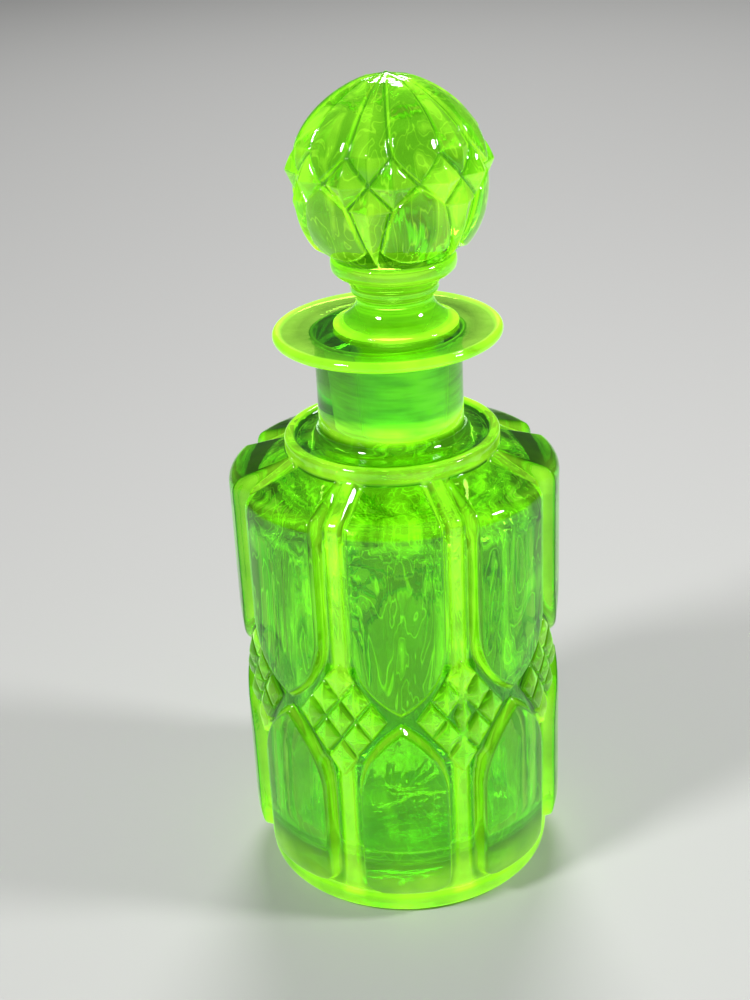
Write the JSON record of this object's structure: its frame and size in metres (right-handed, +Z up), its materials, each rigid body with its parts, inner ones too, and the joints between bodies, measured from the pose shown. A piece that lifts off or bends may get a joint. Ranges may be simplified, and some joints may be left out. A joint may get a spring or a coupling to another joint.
{
  "type": "stoppered toilet bottle",
  "caption": "Cylindrical pressed uranium glass scent bottle with panelled, ribbed and diamond-point relief, wide lip and a lift-out ball stopper with a ground plug.",
  "frame": {"origin": "centre of the base circle, on the table, with the stopper seated", "axes": "+Z up along the bottle's axis; -Y is the middle of the front panel, +X to the right of it, the side the ground bore is off centre"},
  "size_m": [0.066, 0.066, 0.165],
  "materials": {
    "bottle_glass": "fire-polished pressed uranium glass, glowing green under ultraviolet light; the bore is ground matt",
    "stopper_glass": "fire-polished pressed uranium glass knob; the plug is ground matt"
  },
  "bodies": {
    "bottle": {"bottle": "bottle_glass"},
    "stopper": {"stopper": "stopper_glass"}
  },
  "joints": [
    {"name": "stopper_lift", "type": "slide", "parent": "bottle", "child": "stopper", "axis": [0, 0, 1], "range_m": [0, 0.06]}
  ]
}
